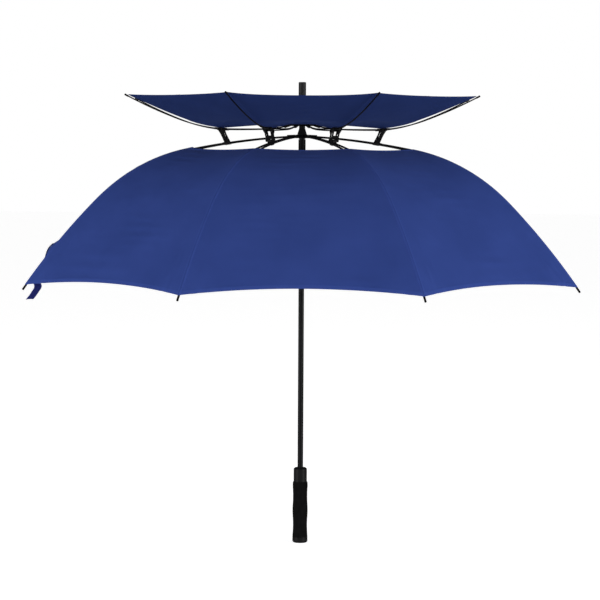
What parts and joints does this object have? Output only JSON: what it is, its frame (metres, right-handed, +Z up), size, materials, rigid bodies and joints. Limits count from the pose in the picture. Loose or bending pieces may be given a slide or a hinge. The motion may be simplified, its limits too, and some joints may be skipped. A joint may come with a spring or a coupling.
{
  "type": "golf umbrella",
  "caption": "Open double-canopy golf umbrella on a straight grip: folding ribs and stretchers under a navy main canopy, and a vent canopy turned up above it.",
  "frame": {"origin": "centre of the handle's lower end, on the shaft's axis", "axes": "+Z up the shaft towards the ferrule, front towards -Y with a panel's middle facing it, +X to the right"},
  "size_m": [1.189, 1.1864, 1.028],
  "materials": {
    "shaft": "satin",
    "grip": "matte",
    "handle_plastic": "satin",
    "frame_plastic": "matte",
    "rib_rod": "satin",
    "ferrule": "satin",
    "main_cloth": "satin",
    "vent_cloth": "satin",
    "strap": "matte"
  },
  "bodies": {
    "shaft_and_handle": {"shaft": "shaft", "handle_grip": "grip", "handle_end_cap": "handle_plastic", "handle_collar": "handle_plastic", "crown": "frame_plastic", "vent_hub": "frame_plastic", "ferrule": "ferrule", "main_canopy": "main_cloth", "vent_canopy": "vent_cloth"},
    "runner": {"runner": "frame_plastic"},
    "latch_button": {"latch_button": "frame_plastic"},
    "rib_inner_1": {"rib_inner_1": "rib_rod"},
    "rib_outer_1": {"rib_outer_1": "rib_rod"},
    "stretcher_1": {"stretcher_1": "rib_rod"},
    "vent_link_1": {"vent_link_1": "frame_plastic"},
    "vent_arm_1": {"vent_arm_1": "rib_rod"},
    "vent_rib_1": {"vent_rib_1": "rib_rod"},
    "rib_inner_2": {"rib_inner_2": "rib_rod"},
    "rib_outer_2": {"rib_outer_2": "rib_rod"},
    "stretcher_2": {"stretcher_2": "rib_rod"},
    "vent_link_2": {"vent_link_2": "frame_plastic"},
    "vent_arm_2": {"vent_arm_2": "rib_rod"},
    "vent_rib_2": {"vent_rib_2": "rib_rod"},
    "rib_inner_3": {"rib_inner_3": "rib_rod"},
    "rib_outer_3": {"rib_outer_3": "rib_rod"},
    "stretcher_3": {"stretcher_3": "rib_rod"},
    "vent_link_3": {"vent_link_3": "frame_plastic"},
    "vent_arm_3": {"vent_arm_3": "rib_rod"},
    "vent_rib_3": {"vent_rib_3": "rib_rod"},
    "rib_inner_4": {"rib_inner_4": "rib_rod"},
    "rib_outer_4": {"rib_outer_4": "rib_rod"},
    "stretcher_4": {"stretcher_4": "rib_rod"},
    "vent_link_4": {"vent_link_4": "frame_plastic"},
    "vent_arm_4": {"vent_arm_4": "rib_rod"},
    "vent_rib_4": {"vent_rib_4": "rib_rod"},
    "rib_inner_5": {"rib_inner_5": "rib_rod"},
    "rib_outer_5": {"rib_outer_5": "rib_rod", "tie_strap": "strap"},
    "stretcher_5": {"stretcher_5": "rib_rod"},
    "vent_link_5": {"vent_link_5": "frame_plastic"},
    "vent_arm_5": {"vent_arm_5": "rib_rod"},
    "vent_rib_5": {"vent_rib_5": "rib_rod"},
    "rib_inner_6": {"rib_inner_6": "rib_rod"},
    "rib_outer_6": {"rib_outer_6": "rib_rod"},
    "stretcher_6": {"stretcher_6": "rib_rod"},
    "vent_link_6": {"vent_link_6": "frame_plastic"},
    "vent_arm_6": {"vent_arm_6": "rib_rod"},
    "vent_rib_6": {"vent_rib_6": "rib_rod"},
    "rib_inner_7": {"rib_inner_7": "rib_rod"},
    "rib_outer_7": {"rib_outer_7": "rib_rod"},
    "stretcher_7": {"stretcher_7": "rib_rod"},
    "vent_link_7": {"vent_link_7": "frame_plastic"},
    "vent_arm_7": {"vent_arm_7": "rib_rod"},
    "vent_rib_7": {"vent_rib_7": "rib_rod"},
    "rib_inner_8": {"rib_inner_8": "rib_rod"},
    "rib_outer_8": {"rib_outer_8": "rib_rod"},
    "stretcher_8": {"stretcher_8": "rib_rod"},
    "vent_link_8": {"vent_link_8": "frame_plastic"},
    "vent_arm_8": {"vent_arm_8": "rib_rod"},
    "vent_rib_8": {"vent_rib_8": "rib_rod"}
  },
  "joints": [
    {"name": "rib_1_fold", "type": "hinge", "parent": "shaft_and_handle", "child": "rib_inner_1", "pos_m": [0.01016, 0.00421, 0.908], "axis": [-0.3827, 0.9239, 0], "range_deg": [0, 76.8], "deforming": ["main_canopy", "tie_strap"]},
    {"name": "stretcher_1_pivot", "type": "hinge", "parent": "rib_inner_1", "child": "stretcher_1", "pos_m": [0.32336, 0.13394, 0.838], "axis": [0.3827, -0.9239, 0], "range_deg": [0, 153.6]},
    {"name": "rib_1_flex", "type": "hinge", "parent": "rib_inner_1", "child": "rib_outer_1", "pos_m": [0.32558, 0.13486, 0.84845], "axis": [0.3827, -0.9239, 0], "range_deg": [0, 29.18]},
    {"name": "vent_arm_1_pivot", "type": "hinge", "parent": "shaft_and_handle", "child": "vent_arm_1", "pos_m": [0.02291, 0.00949, 0.934], "axis": [-0.3827, 0.9239, 0], "range_deg": [0, 76.8]},
    {"name": "vent_link_1_pivot", "type": "hinge", "parent": "rib_inner_1", "child": "vent_link_1", "pos_m": [0.16704, 0.06919, 0.89736], "axis": [0.3827, -0.9239, 0], "range_deg": [0, 76.8]},
    {"name": "vent_rib_1_flip", "type": "hinge", "parent": "vent_arm_1", "child": "vent_rib_1", "pos_m": [0.17979, 0.07447, 0.92336], "axis": [-0.3827, 0.9239, 0], "range_deg": [0, 30], "deforming": ["vent_canopy"]},
    {"name": "rib_2_fold", "type": "hinge", "parent": "shaft_and_handle", "child": "rib_inner_2", "pos_m": [0.00421, 0.01016, 0.908], "axis": [-0.9239, 0.3827, 0], "range_deg": [0, 76.8]},
    {"name": "stretcher_2_pivot", "type": "hinge", "parent": "rib_inner_2", "child": "stretcher_2", "pos_m": [0.13394, 0.32336, 0.838], "axis": [0.9239, -0.3827, 0], "range_deg": [0, 153.6]},
    {"name": "rib_2_flex", "type": "hinge", "parent": "rib_inner_2", "child": "rib_outer_2", "pos_m": [0.13486, 0.32558, 0.84845], "axis": [0.9239, -0.3827, 0], "range_deg": [0, 29.18]},
    {"name": "vent_arm_2_pivot", "type": "hinge", "parent": "shaft_and_handle", "child": "vent_arm_2", "pos_m": [0.00949, 0.02291, 0.934], "axis": [-0.9239, 0.3827, 0], "range_deg": [0, 76.8]},
    {"name": "vent_link_2_pivot", "type": "hinge", "parent": "rib_inner_2", "child": "vent_link_2", "pos_m": [0.06919, 0.16704, 0.89736], "axis": [0.9239, -0.3827, 0], "range_deg": [0, 76.8]},
    {"name": "vent_rib_2_flip", "type": "hinge", "parent": "vent_arm_2", "child": "vent_rib_2", "pos_m": [0.07447, 0.17979, 0.92336], "axis": [-0.9239, 0.3827, 0], "range_deg": [0, 30]},
    {"name": "rib_3_fold", "type": "hinge", "parent": "shaft_and_handle", "child": "rib_inner_3", "pos_m": [-0.00421, 0.01016, 0.908], "axis": [-0.9239, -0.3827, 0], "range_deg": [0, 76.8]},
    {"name": "stretcher_3_pivot", "type": "hinge", "parent": "rib_inner_3", "child": "stretcher_3", "pos_m": [-0.13394, 0.32336, 0.838], "axis": [0.9239, 0.3827, 0], "range_deg": [0, 153.6]},
    {"name": "rib_3_flex", "type": "hinge", "parent": "rib_inner_3", "child": "rib_outer_3", "pos_m": [-0.13486, 0.32558, 0.84845], "axis": [0.9239, 0.3827, 0], "range_deg": [0, 29.18]},
    {"name": "vent_arm_3_pivot", "type": "hinge", "parent": "shaft_and_handle", "child": "vent_arm_3", "pos_m": [-0.00949, 0.02291, 0.934], "axis": [-0.9239, -0.3827, 0], "range_deg": [0, 76.8]},
    {"name": "vent_link_3_pivot", "type": "hinge", "parent": "rib_inner_3", "child": "vent_link_3", "pos_m": [-0.06919, 0.16704, 0.89736], "axis": [0.9239, 0.3827, 0], "range_deg": [0, 76.8]},
    {"name": "vent_rib_3_flip", "type": "hinge", "parent": "vent_arm_3", "child": "vent_rib_3", "pos_m": [-0.07447, 0.17979, 0.92336], "axis": [-0.9239, -0.3827, 0], "range_deg": [0, 30]},
    {"name": "rib_4_fold", "type": "hinge", "parent": "shaft_and_handle", "child": "rib_inner_4", "pos_m": [-0.01016, 0.00421, 0.908], "axis": [-0.3827, -0.9239, 0], "range_deg": [0, 76.8]},
    {"name": "stretcher_4_pivot", "type": "hinge", "parent": "rib_inner_4", "child": "stretcher_4", "pos_m": [-0.32336, 0.13394, 0.838], "axis": [0.3827, 0.9239, 0], "range_deg": [0, 153.6]},
    {"name": "rib_4_flex", "type": "hinge", "parent": "rib_inner_4", "child": "rib_outer_4", "pos_m": [-0.32558, 0.13486, 0.84845], "axis": [0.3827, 0.9239, 0], "range_deg": [0, 29.18]},
    {"name": "vent_arm_4_pivot", "type": "hinge", "parent": "shaft_and_handle", "child": "vent_arm_4", "pos_m": [-0.02291, 0.00949, 0.934], "axis": [-0.3827, -0.9239, 0], "range_deg": [0, 76.8]},
    {"name": "vent_link_4_pivot", "type": "hinge", "parent": "rib_inner_4", "child": "vent_link_4", "pos_m": [-0.16704, 0.06919, 0.89736], "axis": [0.3827, 0.9239, 0], "range_deg": [0, 76.8]},
    {"name": "vent_rib_4_flip", "type": "hinge", "parent": "vent_arm_4", "child": "vent_rib_4", "pos_m": [-0.17979, 0.07447, 0.92336], "axis": [-0.3827, -0.9239, 0], "range_deg": [0, 30]},
    {"name": "rib_5_fold", "type": "hinge", "parent": "shaft_and_handle", "child": "rib_inner_5", "pos_m": [-0.01016, -0.00421, 0.908], "axis": [0.3827, -0.9239, 0], "range_deg": [0, 76.8]},
    {"name": "stretcher_5_pivot", "type": "hinge", "parent": "rib_inner_5", "child": "stretcher_5", "pos_m": [-0.32336, -0.13394, 0.838], "axis": [-0.3827, 0.9239, 0], "range_deg": [0, 153.6]},
    {"name": "rib_5_flex", "type": "hinge", "parent": "rib_inner_5", "child": "rib_outer_5", "pos_m": [-0.32558, -0.13486, 0.84845], "axis": [-0.3827, 0.9239, 0], "range_deg": [0, 29.18]},
    {"name": "vent_arm_5_pivot", "type": "hinge", "parent": "shaft_and_handle", "child": "vent_arm_5", "pos_m": [-0.02291, -0.00949, 0.934], "axis": [0.3827, -0.9239, 0], "range_deg": [0, 76.8]},
    {"name": "vent_link_5_pivot", "type": "hinge", "parent": "rib_inner_5", "child": "vent_link_5", "pos_m": [-0.16704, -0.06919, 0.89736], "axis": [-0.3827, 0.9239, 0], "range_deg": [0, 76.8]},
    {"name": "vent_rib_5_flip", "type": "hinge", "parent": "vent_arm_5", "child": "vent_rib_5", "pos_m": [-0.17979, -0.07447, 0.92336], "axis": [0.3827, -0.9239, 0], "range_deg": [0, 30]},
    {"name": "rib_6_fold", "type": "hinge", "parent": "shaft_and_handle", "child": "rib_inner_6", "pos_m": [-0.00421, -0.01016, 0.908], "axis": [0.9239, -0.3827, 0], "range_deg": [0, 76.8]},
    {"name": "stretcher_6_pivot", "type": "hinge", "parent": "rib_inner_6", "child": "stretcher_6", "pos_m": [-0.13394, -0.32336, 0.838], "axis": [-0.9239, 0.3827, 0], "range_deg": [0, 153.6]},
    {"name": "rib_6_flex", "type": "hinge", "parent": "rib_inner_6", "child": "rib_outer_6", "pos_m": [-0.13486, -0.32558, 0.84845], "axis": [-0.9239, 0.3827, 0], "range_deg": [0, 29.18]},
    {"name": "vent_arm_6_pivot", "type": "hinge", "parent": "shaft_and_handle", "child": "vent_arm_6", "pos_m": [-0.00949, -0.02291, 0.934], "axis": [0.9239, -0.3827, 0], "range_deg": [0, 76.8]},
    {"name": "vent_link_6_pivot", "type": "hinge", "parent": "rib_inner_6", "child": "vent_link_6", "pos_m": [-0.06919, -0.16704, 0.89736], "axis": [-0.9239, 0.3827, 0], "range_deg": [0, 76.8]},
    {"name": "vent_rib_6_flip", "type": "hinge", "parent": "vent_arm_6", "child": "vent_rib_6", "pos_m": [-0.07447, -0.17979, 0.92336], "axis": [0.9239, -0.3827, 0], "range_deg": [0, 30]},
    {"name": "rib_7_fold", "type": "hinge", "parent": "shaft_and_handle", "child": "rib_inner_7", "pos_m": [0.00421, -0.01016, 0.908], "axis": [0.9239, 0.3827, 0], "range_deg": [0, 76.8]},
    {"name": "stretcher_7_pivot", "type": "hinge", "parent": "rib_inner_7", "child": "stretcher_7", "pos_m": [0.13394, -0.32336, 0.838], "axis": [-0.9239, -0.3827, 0], "range_deg": [0, 153.6]},
    {"name": "rib_7_flex", "type": "hinge", "parent": "rib_inner_7", "child": "rib_outer_7", "pos_m": [0.13486, -0.32558, 0.84845], "axis": [-0.9239, -0.3827, 0], "range_deg": [0, 29.18]},
    {"name": "vent_arm_7_pivot", "type": "hinge", "parent": "shaft_and_handle", "child": "vent_arm_7", "pos_m": [0.00949, -0.02291, 0.934], "axis": [0.9239, 0.3827, 0], "range_deg": [0, 76.8]},
    {"name": "vent_link_7_pivot", "type": "hinge", "parent": "rib_inner_7", "child": "vent_link_7", "pos_m": [0.06919, -0.16704, 0.89736], "axis": [-0.9239, -0.3827, 0], "range_deg": [0, 76.8]},
    {"name": "vent_rib_7_flip", "type": "hinge", "parent": "vent_arm_7", "child": "vent_rib_7", "pos_m": [0.07447, -0.17979, 0.92336], "axis": [0.9239, 0.3827, 0], "range_deg": [0, 30]},
    {"name": "rib_8_fold", "type": "hinge", "parent": "shaft_and_handle", "child": "rib_inner_8", "pos_m": [0.01016, -0.00421, 0.908], "axis": [0.3827, 0.9239, 0], "range_deg": [0, 76.8]},
    {"name": "stretcher_8_pivot", "type": "hinge", "parent": "rib_inner_8", "child": "stretcher_8", "pos_m": [0.32336, -0.13394, 0.838], "axis": [-0.3827, -0.9239, 0], "range_deg": [0, 153.6]},
    {"name": "rib_8_flex", "type": "hinge", "parent": "rib_inner_8", "child": "rib_outer_8", "pos_m": [0.32558, -0.13486, 0.84845], "axis": [-0.3827, -0.9239, 0], "range_deg": [0, 29.18]},
    {"name": "vent_arm_8_pivot", "type": "hinge", "parent": "shaft_and_handle", "child": "vent_arm_8", "pos_m": [0.02291, -0.00949, 0.934], "axis": [0.3827, 0.9239, 0], "range_deg": [0, 76.8]},
    {"name": "vent_link_8_pivot", "type": "hinge", "parent": "rib_inner_8", "child": "vent_link_8", "pos_m": [0.16704, -0.06919, 0.89736], "axis": [-0.3827, -0.9239, 0], "range_deg": [0, 76.8]},
    {"name": "vent_rib_8_flip", "type": "hinge", "parent": "vent_arm_8", "child": "vent_rib_8", "pos_m": [0.17979, -0.07447, 0.92336], "axis": [0.3827, 0.9239, 0], "range_deg": [0, 30]},
    {"name": "runner_pivot", "type": "hinge", "parent": "stretcher_1", "child": "runner", "pos_m": [0.01016, 0.00421, 0.768], "axis": [-0.3827, 0.9239, 0], "range_deg": [0, 76.8]},
    {"name": "latch_button_press", "type": "slide", "parent": "runner", "child": "latch_button", "axis": [0, 1, 0], "range_m": [0, 0.0016], "stiffness_N_per_m": 400}
  ],
  "couplings": [
    {"joint": "stretcher_1_pivot", "follows": "rib_1_fold", "ratio": 2},
    {"joint": "rib_1_flex", "follows": "rib_1_fold", "ratio": 0.38},
    {"joint": "vent_arm_1_pivot", "follows": "rib_1_fold", "ratio": 1},
    {"joint": "vent_link_1_pivot", "follows": "rib_1_fold", "ratio": 1},
    {"joint": "rib_2_fold", "follows": "rib_1_fold", "ratio": 1},
    {"joint": "stretcher_2_pivot", "follows": "rib_1_fold", "ratio": 2},
    {"joint": "rib_2_flex", "follows": "rib_1_fold", "ratio": 0.38},
    {"joint": "vent_arm_2_pivot", "follows": "rib_1_fold", "ratio": 1},
    {"joint": "vent_link_2_pivot", "follows": "rib_1_fold", "ratio": 1},
    {"joint": "vent_rib_2_flip", "follows": "vent_rib_1_flip", "ratio": 1},
    {"joint": "rib_3_fold", "follows": "rib_1_fold", "ratio": 1},
    {"joint": "stretcher_3_pivot", "follows": "rib_1_fold", "ratio": 2},
    {"joint": "rib_3_flex", "follows": "rib_1_fold", "ratio": 0.38},
    {"joint": "vent_arm_3_pivot", "follows": "rib_1_fold", "ratio": 1},
    {"joint": "vent_link_3_pivot", "follows": "rib_1_fold", "ratio": 1},
    {"joint": "vent_rib_3_flip", "follows": "vent_rib_1_flip", "ratio": 1},
    {"joint": "rib_4_fold", "follows": "rib_1_fold", "ratio": 1},
    {"joint": "stretcher_4_pivot", "follows": "rib_1_fold", "ratio": 2},
    {"joint": "rib_4_flex", "follows": "rib_1_fold", "ratio": 0.38},
    {"joint": "vent_arm_4_pivot", "follows": "rib_1_fold", "ratio": 1},
    {"joint": "vent_link_4_pivot", "follows": "rib_1_fold", "ratio": 1},
    {"joint": "vent_rib_4_flip", "follows": "vent_rib_1_flip", "ratio": 1},
    {"joint": "rib_5_fold", "follows": "rib_1_fold", "ratio": 1},
    {"joint": "stretcher_5_pivot", "follows": "rib_1_fold", "ratio": 2},
    {"joint": "rib_5_flex", "follows": "rib_1_fold", "ratio": 0.38},
    {"joint": "vent_arm_5_pivot", "follows": "rib_1_fold", "ratio": 1},
    {"joint": "vent_link_5_pivot", "follows": "rib_1_fold", "ratio": 1},
    {"joint": "vent_rib_5_flip", "follows": "vent_rib_1_flip", "ratio": 1},
    {"joint": "rib_6_fold", "follows": "rib_1_fold", "ratio": 1},
    {"joint": "stretcher_6_pivot", "follows": "rib_1_fold", "ratio": 2},
    {"joint": "rib_6_flex", "follows": "rib_1_fold", "ratio": 0.38},
    {"joint": "vent_arm_6_pivot", "follows": "rib_1_fold", "ratio": 1},
    {"joint": "vent_link_6_pivot", "follows": "rib_1_fold", "ratio": 1},
    {"joint": "vent_rib_6_flip", "follows": "vent_rib_1_flip", "ratio": 1},
    {"joint": "rib_7_fold", "follows": "rib_1_fold", "ratio": 1},
    {"joint": "stretcher_7_pivot", "follows": "rib_1_fold", "ratio": 2},
    {"joint": "rib_7_flex", "follows": "rib_1_fold", "ratio": 0.38},
    {"joint": "vent_arm_7_pivot", "follows": "rib_1_fold", "ratio": 1},
    {"joint": "vent_link_7_pivot", "follows": "rib_1_fold", "ratio": 1},
    {"joint": "vent_rib_7_flip", "follows": "vent_rib_1_flip", "ratio": 1},
    {"joint": "rib_8_fold", "follows": "rib_1_fold", "ratio": 1},
    {"joint": "stretcher_8_pivot", "follows": "rib_1_fold", "ratio": 2},
    {"joint": "rib_8_flex", "follows": "rib_1_fold", "ratio": 0.38},
    {"joint": "vent_arm_8_pivot", "follows": "rib_1_fold", "ratio": 1},
    {"joint": "vent_link_8_pivot", "follows": "rib_1_fold", "ratio": 1},
    {"joint": "vent_rib_8_flip", "follows": "vent_rib_1_flip", "ratio": 1},
    {"joint": "runner_pivot", "follows": "rib_1_fold", "ratio": 1}
  ]
}
